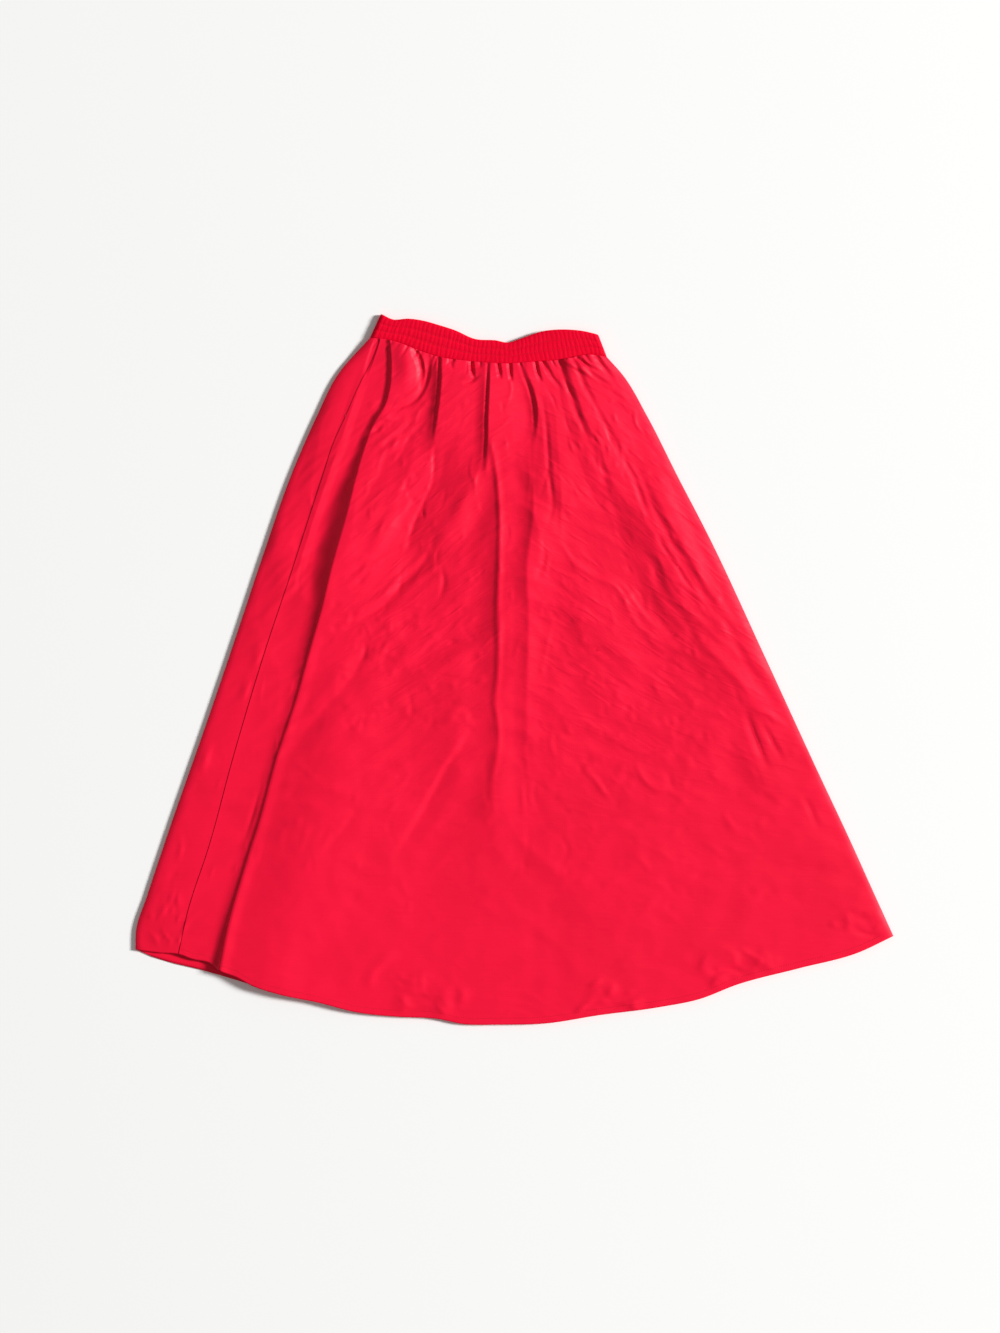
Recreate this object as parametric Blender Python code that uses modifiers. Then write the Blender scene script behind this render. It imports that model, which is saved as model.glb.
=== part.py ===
"""A long gathered A-line skirt with an elastic waistband, laid flat.

Tables are in millimetres, seen from above: x to the right, y towards the waist.
The model is in metres: z is up, and z = 0 is the surface that the skirt lies on.
"""

from collections import namedtuple

import bmesh
import bpy
import numpy as np

MM = 0.001

# Driving dimensions, in millimetres
CLOTH = 1.2
LAYER_GAP = 2.0
SEAM_GAP = 0.3
BAND_HEIGHT = 40.0
BAND_WALL = 2.8
BAND_LAYER_GAP = 1.4

# Waistband: ribs raised on its face, each a little different, and the channels between the stitch rows
BAND_RIBS = 52
RIB_HEIGHT = 0.9
RIB_UNEVEN = 0.25
RIB_SHIFT = 0.12
CHANNEL_HEIGHT = 0.8
BAND_WAVE = 0.8
BAND_WAVES = 1.4

# How the gathered front stands above the layers: most a little below the band, least at the hem
WAIST_PUFF = 8.5
PUFF_RISE_END = 0.03
PUFF_FALL = (0.1, 0.7)
HEM_PUFF = 1.0
FLOOR_SOFTNESS = 0.8

# Folded side edges: the band's thickness runs out into the skirt's, and folds die away towards the edge
BAND_RUNOUT = 0.05
EDGE_INSET = 8.0
FOLDS_DIE_OUT = (18.0, 45.0)
EDGE_ANGLES = [60, 30, 0, -30, -60]
NEAR_EDGE = 0.02

# The right side runs under by this much, but by no more than this share of the width
TUCK = 60.0
MOST_TUCK_SHARE = 0.2

SKIRT_THICKNESS = 2 * CLOTH + LAYER_GAP
BAND_THICKNESS = 2 * BAND_WALL + BAND_LAYER_GAP

# Outline of the laid skirt, each edge as the points of one smooth curve
LEFT_EDGE = [(-200, 461), (-246, 408), (-274, 352), (-310, 269), (-349, 158), (-386, 47),
             (-424, -65), (-482, -231), (-510, -315), (-525, -362), (-526, -389)]
RIGHT_EDGE = [(129, 434), (152, 408), (185, 352), (227, 269), (270, 186), (348, 19),
              (425, -148), (464, -231), (502, -315), (527, -370)]
BACK_HEM = [(-526, -389), (-495, -402), (-439, -416), (-384, -432), (-328, -450), (-272, -462),
            (-217, -476), (-161, -482), (-106, -485), (-72, -492), (-22, -493), (47, -491),
            (117, -480), (200, -469), (256, -458), (311, -437), (395, -415), (478, -393), (527, -370)]
FRONT_HEM = [(-526, -389), (-493, -393), (-466, -395), (-446, -402), (-423, -407), (-409, -417),
             (-384, -427), (-364, -438)] + BACK_HEM[4:]
BAND_TOP = [(-185, 494), (-168, 486), (-147, 487), (-125, 484), (-107, 479), (-82, 471), (-54, 459),
            (-25, 457), (-8, 454), (8, 459), (42, 470), (70, 472), (95, 470), (117, 465)]
WAIST_SEAM = [(-200, 461), (-177, 458), (-156, 452), (-135, 444), (-104, 434), (-60, 428), (-6, 425),
              (22, 427), (70, 431), (106, 437), (129, 434)]

# Lines that run down the front, from the waist to the hem
SIDE_SEAM = [(-186, 459), (-197, 430), (-215, 395), (-234, 351), (-251, 314), (-263, 277), (-279, 228),
             (-311, 129), (-343, 34), (-388, -115), (-424, -247), (-453, -336), (-466, -395)]
DEEP_FOLD = [(-172, 456), (-170, 425), (-172, 392), (-179, 366), (-193, 343), (-205, 314), (-217, 275),
             (-230, 222), (-251, 148), (-267, 83), (-283, 27), (-302, -42), (-330, -126), (-351, -204),
             (-372, -270), (-398, -362), (-409, -417)]

# Folds of the front: a smooth line, the height along it at its start, middle and end (below zero for a
# trough), and how far it spreads to the left and to the right of the line, looking from waist to hem
Fold = namedtuple("Fold", "name line heights spread_left spread_right")
FOLDS = [
    Fold("deep fold", DEEP_FOLD, (3.0, 9.0, 7.0), 12, 110),
    Fold("left bulge", [(-152, 448), (-148, 415), (-156, 380)], (2.0, 3.0, 0.0), 20, 18),
    Fold("bulge slit", [(-136, 442), (-130, 430), (-127, 412), (-131, 390)], (-7.0, -7.0, 0.0), 8, 7),
    Fold("bulge crease", [(-117, 432), (-124, 393), (-156, 364), (-180, 362)], (-4.0, -4.0, 0.0), 9, 6),
    Fold("left slit", [(-104, 434), (-104, 400), (-108, 360), (-114, 318)], (-10.0, -9.0, 0.0), 10, 7),
    Fold("left broad slope", [(-122, 335), (-146, 255), (-190, 160)], (0.0, 4.0, 0.0), 42, 24),
    Fold("left crinkle", [(-106, 352), (-115, 270), (-149, 173)], (0.0, -4.5, 0.0), 8, 14),
    Fold("small pleat 1", [(-57, 428), (-56, 405), (-60, 384)], (-6.0, -5.0, 0.0), 6, 6),
    Fold("centre left slit", [(-36, 428), (-37, 395), (-40, 310), (-46, 272)], (-10.0, -8.0, 0.0), 10, 7),
    Fold("centre broad ridge", [(-28, 330), (-20, 222), (-20, 175), (-22, 0), (-28, -150), (-26, -265)],
         (0.0, 4.0, 0.0), 18, 50),
    Fold("small pleat 2", [(-19, 426), (-17, 405), (-16, 384)], (-6.0, -5.0, 0.0), 5, 5),
    Fold("small pleat 3", [(-5, 425), (-2, 400), (2, 380)], (-6.0, -5.0, 0.0), 5, 5),
    Fold("centre right slit", [(8, 427), (13, 410), (22, 388), (28, 362), (26, 318)],
         (-9.0, -7.0, 0.0), 9, 7),
    Fold("centre right ridge", [(27, 320), (26, 208), (18, 150), (18, -8), (18, -200)],
         (0.0, 3.5, 0.0), 17, 50),
    Fold("small pleat 4", [(26, 427), (33, 405), (40, 384)], (-6.0, -5.0, 0.0), 5, 6),
    Fold("thin crease", [(40, 429), (47, 330), (52, 225)], (-5.0, -4.0, 0.0), 5, 7),
    Fold("wrinkled valley", [(64, 430), (90, 351), (118, 287), (144, 212), (197, 143), (252, 42),
                             (323, -35), (385, -72)], (-7.0, -5.0, 0.0), 16, 11),
    Fold("long streak", [(84, 431), (108, 375), (152, 296), (192, 205)], (-5.0, -3.0, 0.0), 10, 8),
    Fold("edge streak", [(168, 290), (222, 178), (301, 56), (376, -56)], (0.0, -2.5, 0.0), 16, 9),
    Fold("right groove", [(99, 437), (124, 401), (150, 370)], (-7.0, -6.0, 0.0), 7, 8),
    Fold("right edge pleat", [(115, 437), (140, 408), (170, 362)], (-5.0, -4.0, 0.0), 6, 7),
    Fold("broad left valley", [(-103, 138), (-186, 69), (-238, -40), (-300, -98)], (0.0, -3.0, 0.0), 26, 30),
    Fold("diagonal crumple", [(60, 105), (146, 100), (186, 60), (238, 40)], (0.0, 2.5, 0.0), 14, 12),
    Fold("lower crumple", [(24, -238), (110, -216), (214, -192)], (0.0, 2.0, 0.0), 16, 12),
    Fold("hem pucker left", [(-180, -432), (-125, -452), (-70, -440)], (0.0, -2.0, 0.0), 12, 14),
    Fold("hem pucker right", [(240, -396), (300, -412), (360, -400)], (0.0, -2.0, 0.0), 12, 14),
]

# Rows of the panels, as parts of the way from waist to hem: close together under the gathers
PANEL_ROWS = [0.0, 0.008, 0.02, 0.036, 0.055, 0.08, 0.11, 0.145, 0.185, 0.23, 0.28, 0.34, 0.4, 0.47,
              0.54, 0.62, 0.7, 0.78, 0.86, 0.92, 0.97, 1.0]
BAND_ROWS = [0.0, 0.15, 0.33, 0.5, 0.66, 0.84, 1.0]
CHANNEL_ROWS = (1, 3, 5)

# Columns of the panels, between the lines that they must follow, and the deep fold's wall
STRIP_COLUMNS = 5
WALL_COLUMNS = 3
FRONT_COLUMNS = 78
UNDERSIDE_COLUMNS = 16
TUCK_COLUMNS = 3
FOLD_WALL = 7.0
LEAST_STRIP = 1.0
LINE_SAMPLES = 40

CLOTH_RED = (0.86, 0.012, 0.045, 1.0)
BAND_RED = (0.74, 0.010, 0.035, 1.0)


def smooth_curve(points):
    """A function of 0 to 1 along a smooth curve through the points, in step with its length."""
    points = np.array(points, float)
    steps = np.linalg.norm(np.diff(points, axis=0), axis=1)
    knots = np.concatenate(([0.0], np.cumsum(steps))) / steps.sum()
    slopes = np.gradient(points, knots, axis=0)

    def at(place):
        place = np.clip(np.asarray(place, float), 0.0, 1.0)
        left = np.clip(np.searchsorted(knots, place, side="right") - 1, 0, len(knots) - 2)
        width = (knots[left + 1] - knots[left])[..., None]
        s = (place - knots[left])[..., None] / width
        start = (2 * s**3 - 3 * s**2 + 1) * points[left] + (s**3 - 2 * s**2 + s) * width * slopes[left]
        end = (3 * s**2 - 2 * s**3) * points[left + 1] + (s**3 - s**2) * width * slopes[left + 1]
        return start + end

    return at


def fade(value, start, end):
    """0 up to start, 1 from end on, and a smooth step between them."""
    s = np.clip((value - start) / (end - start), 0.0, 1.0)
    return s * s * (3.0 - 2.0 * s)


class Layer:
    """One layer of the laid skirt as a patch: u runs from left to right, v from waist to hem."""

    def __init__(self, hem):
        self.left = smooth_curve(LEFT_EDGE)
        self.right = smooth_curve(RIGHT_EDGE)
        self.waist = smooth_curve(WAIST_SEAM)
        self.hem = smooth_curve(hem)

    def at(self, u, v):
        u, v = np.broadcast_arrays(np.asarray(u, float), np.asarray(v, float))
        a, b = u[..., None], v[..., None]
        along = (1 - b) * self.waist(u) + b * self.hem(u)
        across = (1 - a) * self.left(v) + a * self.right(v)
        waist_ends = (1 - a) * self.waist(0.0) + a * self.waist(1.0)
        hem_ends = (1 - a) * self.hem(0.0) + a * self.hem(1.0)
        return along + across - (1 - b) * waist_ends - b * hem_ends

    def width(self, v):
        return np.linalg.norm(self.at(1.0, v) - self.at(0.0, v))

    def u_of_line(self, line, v):
        """Where the row at v crosses a line that runs down the left half of the skirt."""
        path = smooth_curve(line)(np.linspace(0.0, 1.0, LINE_SAMPLES))
        u = np.linspace(0.0, 0.5, 4 * LINE_SAMPLES)
        row = self.at(u, v)
        beyond = row[:, 0] - np.interp(-row[:, 1], -path[:, 1], path[:, 0])
        return float(np.interp(0.0, beyond, u))


def nearest_on_line(xy, line):
    """Distance to a smooth line, how far along it the nearest place is, and whether xy is on its right."""
    places = np.linspace(0.0, 1.0, LINE_SAMPLES)
    path = smooth_curve(line)(places)
    start, run = path[:-1], np.diff(path, axis=0)
    offset = xy[..., None, :] - start
    part = np.clip((offset * run).sum(-1) / (run * run).sum(-1), 0.0, 1.0)
    away = offset - part[..., None] * run
    distance = np.linalg.norm(away, axis=-1)
    nearest = distance.argmin(axis=-1)[..., None]
    part = np.take_along_axis(part, nearest, axis=-1)[..., 0]
    away = np.take_along_axis(away, nearest[..., None], axis=-2)[..., 0, :]
    along = run[nearest[..., 0]]
    # Going from waist to hem, what is on the right in the tables lies on the walker's left hand
    on_right = along[..., 0] * away[..., 1] - along[..., 1] * away[..., 0] > 0
    return distance.min(axis=-1), (nearest[..., 0] + part) / len(run), on_right


def fold_height(xy):
    """Height that the folds of the table add at each place."""
    total = np.zeros(xy.shape[:-1])
    for fold in FOLDS:
        distance, place, on_right = nearest_on_line(xy, fold.line)
        spread = np.where(on_right, fold.spread_right, fold.spread_left)
        height = np.interp(place, (0.0, 0.5, 1.0), fold.heights)
        total += height * (1.0 - fade(distance / spread, 0.0, 1.0))
    return total


def laid_thickness(v):
    """Thickness of the laid tube where no fold lifts it."""
    return BAND_THICKNESS + (SKIRT_THICKNESS - BAND_THICKNESS) * fade(v, 0.0, BAND_RUNOUT)


def top_height(layer, u, v):
    """Outer height of the top layer above the surface that the skirt lies on."""
    from_edge = np.minimum(u, 1.0 - u) * layer.width(v)
    calm_edge = fade(from_edge, 0.0, np.interp(v, (0.0, 0.5), FOLDS_DIE_OUT))
    puff = WAIST_PUFF * fade(v, 0.0, PUFF_RISE_END) * (1.0 - fade(v, *PUFF_FALL))
    # The puff starts at the deep fold, and the strip to its left lies flat
    from_fold = (u - layer.u_of_line(DEEP_FOLD, v)) * layer.width(v)
    puff = puff * fade(from_fold, -FOLD_WALL, 0.0) + HEM_PUFF
    relief = (puff + fold_height(layer.at(u, v))) * calm_edge
    # A smooth floor keeps the deepest troughs clear of the layer below
    return laid_thickness(v) + 0.5 * (relief + np.hypot(relief, FLOOR_SOFTNESS))


def round_edge(tip, near, thickness, inward, angles):
    """Points round a folded edge of a laid tube, some way inward from its outer face."""
    to_middle = (near - tip) / np.linalg.norm(near - tip)
    outer = 0.5 * thickness
    a = np.radians(angles)
    xy = tip + to_middle * (outer - (outer - inward) * np.cos(a))[:, None]
    return np.column_stack((xy, outer + (outer - inward) * np.sin(a)))


def edge_arc(layer, side, v, angles):
    """Points round the skirt's folded edge, for angles from above to below."""
    return round_edge(layer.at(side, v), layer.at(abs(side - NEAR_EDGE), v), laid_thickness(v), 0.0, angles)


def top_row(layer, u, v):
    return np.column_stack((layer.at(u, v), top_height(layer, u, v)))


def bottom_row(layer, u, v):
    return np.column_stack((layer.at(u, v), np.zeros(len(u))))


def panel_rows():
    """Rows from waist to hem, the first one half a seam gap below the band."""
    length = np.linalg.norm(np.subtract(LEFT_EDGE[-1], LEFT_EDGE[0]))
    rows = np.array(PANEL_ROWS)
    rows[0] = 0.5 * SEAM_GAP / length
    return rows


def underside_columns(front, v):
    """Columns of the underside, right to left: the front's tuck, then the back up to the left fold."""
    width = front.width(v)
    gap = 0.5 * SEAM_GAP / width
    inset = EDGE_INSET / width
    seam = 1.0 - min(TUCK / width, MOST_TUCK_SHARE)
    tuck = np.linspace(1.0 - inset, seam + gap, TUCK_COLUMNS)
    left_inset = min(inset, 0.5 * front.u_of_line(SIDE_SEAM, v))
    return tuck, np.linspace(seam - gap, left_inset, UNDERSIDE_COLUMNS)


def front_points(front, back):
    """Grid of the front: from the side seam over the top, round the right fold and a little way under."""
    grid = []
    for v in panel_rows():
        width = front.width(v)
        seam = front.u_of_line(SIDE_SEAM, v) + 0.5 * SEAM_GAP / width
        crest = max(front.u_of_line(DEEP_FOLD, v), seam + FOLD_WALL / width)
        foot = max(crest - FOLD_WALL / width, seam + LEAST_STRIP / width)
        tuck = underside_columns(front, v)[0]
        strip = np.linspace(seam, foot, STRIP_COLUMNS, endpoint=False)
        wall = np.linspace(foot, crest, WALL_COLUMNS, endpoint=False)
        main = np.linspace(crest, tuck[0], FRONT_COLUMNS)
        top = top_row(front, np.concatenate((strip, wall, main)), v)
        under = bottom_row(back, tuck, v)
        grid.append(np.vstack((top, edge_arc(front, 1.0, v, EDGE_ANGLES), under)))
    return np.array(grid)


def back_points(front, back):
    """Grid of the back: flat underneath, round the left fold and over the top to the side seam."""
    grid = []
    for v in panel_rows():
        seam = front.u_of_line(SIDE_SEAM, v) - 0.5 * SEAM_GAP / front.width(v)
        beneath = underside_columns(front, v)[1]
        under = bottom_row(back, beneath, v)
        top = top_row(front, np.linspace(beneath[-1], seam, STRIP_COLUMNS), v)
        grid.append(np.vstack((under, edge_arc(front, 0.0, v, EDGE_ANGLES[::-1]), top)))
    return np.array(grid)


def material(name, colour, roughness):
    made = bpy.data.materials.new(name)
    made.use_nodes = True
    shader = made.node_tree.nodes["Principled BSDF"]
    shader.inputs["Base Color"].default_value = colour
    shader.inputs["Roughness"].default_value = roughness
    shader.inputs["Metallic"].default_value = 0.0
    return made


def grid_faces(vertices, closed=False):
    """Quads between neighbouring rows and columns of vertices."""
    faces = []
    columns = len(vertices[0])
    for upper, lower in zip(vertices[:-1], vertices[1:]):
        for i in range(columns if closed else columns - 1):
            j = (i + 1) % columns
            faces.append((upper[i], lower[i], lower[j], upper[j]))
    return faces


def add_object(name, bm, look, collection):
    mesh = bpy.data.meshes.new(name)
    bm.to_mesh(mesh)
    bm.free()
    mesh.shade_smooth()
    mesh.materials.append(look)
    made = bpy.data.objects.new(name, mesh)
    collection.objects.link(made)
    return made


def add_panel(name, grid, look, collection):
    """A panel of cloth: its outer face from the grid, given its thickness inwards."""
    bm = bmesh.new()
    rows = [[bm.verts.new(point * MM) for point in row] for row in grid]
    for face in grid_faces(rows):
        bm.faces.new(face)
    panel = add_object(name, bm, look, collection)
    thickness = panel.modifiers.new("Cloth", "SOLIDIFY")
    thickness.thickness = CLOTH * MM
    thickness.offset = -1.0
    thickness.use_even_offset = True
    return panel


def band_ring(w, inward, relief, beneath):
    """One closed ring of the band at w, from its top edge to the waist seam, inward from its outer face."""
    top_edge = smooth_curve(BAND_TOP)
    seam = smooth_curve(WAIST_SEAM)

    def place(u):
        return (1.0 - w) * top_edge(u) + w * seam(u)

    column = np.arange(2 * BAND_RIBS)
    share = (column + 0.5 + 2.0 * RIB_SHIFT * np.sin(0.9 * column)) / len(column)
    over = beneath[-1] + (beneath[0] - beneath[-1]) * share
    wave = BAND_WAVE * (1.0 + np.sin(2.0 * np.pi * BAND_WAVES * over + 2.0 * w))
    top = np.column_stack((place(over), BAND_THICKNESS - inward + wave + relief))
    ends = [round_edge(place(side), place(abs(side - NEAR_EDGE)), BAND_THICKNESS, inward, angles)
            for side, angles in ((1.0, EDGE_ANGLES), (0.0, EDGE_ANGLES[::-1]))]
    under = np.column_stack((place(beneath), np.full(len(beneath), inward)))
    return np.vstack((top, ends[0], under, ends[1]))


def add_waistband(front, look, collection):
    """The gathered elastic band: ribs and stitch channels outside, plain inside."""
    beneath = np.concatenate(underside_columns(front, 0.0))
    column = np.arange(2 * BAND_RIBS)
    ribs = RIB_HEIGHT * (column % 2) * (1.0 - RIB_UNEVEN * (1.0 + np.sin(1.7 * column)))
    last = 1.0 - 0.5 * SEAM_GAP / BAND_HEIGHT
    places = [min(w, last) for w in BAND_ROWS]
    outer = []
    for index, w in enumerate(places):
        channel = CHANNEL_HEIGHT if index in CHANNEL_ROWS else 0.0
        outer.append(band_ring(w, 0.0, ribs + channel, beneath))
    inner = [band_ring(w, BAND_WALL, 0.0, beneath) for w in (places[0], places[len(places) // 2], places[-1])]
    bm = bmesh.new()
    outer = [[bm.verts.new(point * MM) for point in ring] for ring in outer]
    inner = [[bm.verts.new(point * MM) for point in ring] for ring in inner]
    faces = grid_faces(outer, closed=True) + grid_faces(inner[::-1], closed=True)
    faces += grid_faces([inner[0], outer[0]], closed=True)
    faces += grid_faces([outer[-1], inner[-1]], closed=True)
    for face in faces:
        bm.faces.new(face)
    return add_object("waistband", bm, look, collection)


def main():
    for obj in list(bpy.data.objects):
        bpy.data.objects.remove(obj)
    collection = bpy.data.collections.new("a_line_skirt")
    bpy.context.scene.collection.children.link(collection)
    front = Layer(FRONT_HEM)
    back = Layer(BACK_HEM)
    add_panel("front_panel", front_points(front, back), material("front_cloth", CLOTH_RED, 0.5), collection)
    add_panel("back_panel", back_points(front, back), material("back_cloth", CLOTH_RED, 0.5), collection)
    add_waistband(front, material("band_cloth", BAND_RED, 0.6), collection)


main()
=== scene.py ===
from collections import namedtuple

import bpy
import numpy as np
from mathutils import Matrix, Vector


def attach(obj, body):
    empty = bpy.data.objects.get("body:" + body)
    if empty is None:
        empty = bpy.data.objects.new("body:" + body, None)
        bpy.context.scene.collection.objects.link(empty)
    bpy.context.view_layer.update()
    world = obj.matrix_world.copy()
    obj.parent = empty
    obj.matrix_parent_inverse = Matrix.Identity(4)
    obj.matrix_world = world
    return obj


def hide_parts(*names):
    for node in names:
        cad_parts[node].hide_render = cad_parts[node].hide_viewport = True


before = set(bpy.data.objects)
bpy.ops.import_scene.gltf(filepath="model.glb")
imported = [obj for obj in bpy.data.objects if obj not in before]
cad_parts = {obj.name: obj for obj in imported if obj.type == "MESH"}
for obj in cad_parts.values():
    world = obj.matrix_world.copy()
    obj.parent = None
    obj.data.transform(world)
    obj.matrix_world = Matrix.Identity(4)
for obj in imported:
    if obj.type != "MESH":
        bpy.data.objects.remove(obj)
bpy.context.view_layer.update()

MM = 0.001

# Cloth and band in millimetres, as the solids have them; the shown cloth is thinner
SOLID_CLOTH = 1.2
LAYER_GAP = 2.0
SKIRT_LENGTH = 850.0
BAND_WIDTH = 330.0
BAND_WALL = 2.6
BAND_LAYER_GAP = 1.8
SHOWN_CLOTH = 0.6
HEM_TURN = 9.0
HEM_STEP = 1.5
HEM_EXTRA = 0.7
SKIRT_THICKNESS = 2 * SOLID_CLOTH + LAYER_GAP
BAND_THICKNESS = 2 * BAND_WALL + BAND_LAYER_GAP

# How the gathered front stands above the layers
WAIST_PUFF = 4.8
PUFF_RISE_END = 0.03
PUFF_FALL = (0.1, 0.7)
PUFF_GROWS = (-4.0, 150.0)
PUFF_ENDS = 200.0
HEM_PUFF = 1.0
FLOOR_SOFTNESS = 0.8
BAND_RUNOUT = 0.05
EDGE_INSET = 8.0
EDGE_TURN = 1.15
FOLDS_DIE_OUT = (14.0, 50.0)
CREASES_DIE_OUT = 12.0
NEAR_EDGE = 0.02
TUCK = 60.0
MOST_TUCK_SHARE = 0.2

# Outline of the laid skirt in millimetres: x to the right, y towards the waist
LEFT_EDGE = [(-200, 461), (-246, 408), (-274, 352), (-310, 269), (-349, 158), (-386, 47),
             (-424, -65), (-482, -231), (-510, -315), (-525, -362), (-526, -389)]
RIGHT_EDGE = [(129, 434), (152, 408), (185, 352), (227, 269), (270, 186), (348, 19),
              (425, -148), (464, -231), (502, -315), (527, -370)]
BACK_HEM = [(-526, -389), (-495, -402), (-439, -416), (-384, -432), (-328, -450), (-272, -462),
            (-217, -476), (-161, -482), (-106, -485), (-72, -492), (-22, -493), (47, -491),
            (117, -480), (200, -469), (256, -458), (311, -437), (395, -415), (478, -393), (527, -370)]
FRONT_HEM = [(-526, -389), (-493, -393), (-466, -395), (-446, -402), (-423, -407), (-409, -417),
             (-384, -427), (-364, -438)] + BACK_HEM[4:]
BAND_TOP = [(-185, 494), (-168, 486), (-147, 487), (-125, 484), (-107, 479), (-82, 471), (-54, 459),
            (-25, 457), (-8, 454), (8, 459), (42, 470), (70, 472), (95, 470), (117, 465)]
WAIST_SEAM = [(-200, 461), (-177, 458), (-156, 452), (-135, 444), (-104, 434), (-60, 428), (-6, 425),
              (22, 427), (70, 431), (106, 437), (129, 434)]
SIDE_SEAM = [(-186, 459), (-197, 430), (-215, 395), (-234, 351), (-251, 314), (-263, 277), (-279, 228),
             (-311, 129), (-343, 34), (-388, -115), (-424, -247), (-453, -336), (-466, -395)]
DEEP_FOLD = [(-172, 456), (-170, 425), (-172, 392), (-179, 366), (-193, 343), (-205, 314), (-217, 275),
             (-230, 222), (-251, 148), (-267, 83), (-283, 27), (-302, -42), (-330, -126), (-351, -204),
             (-372, -270), (-398, -362), (-409, -417)]

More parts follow.
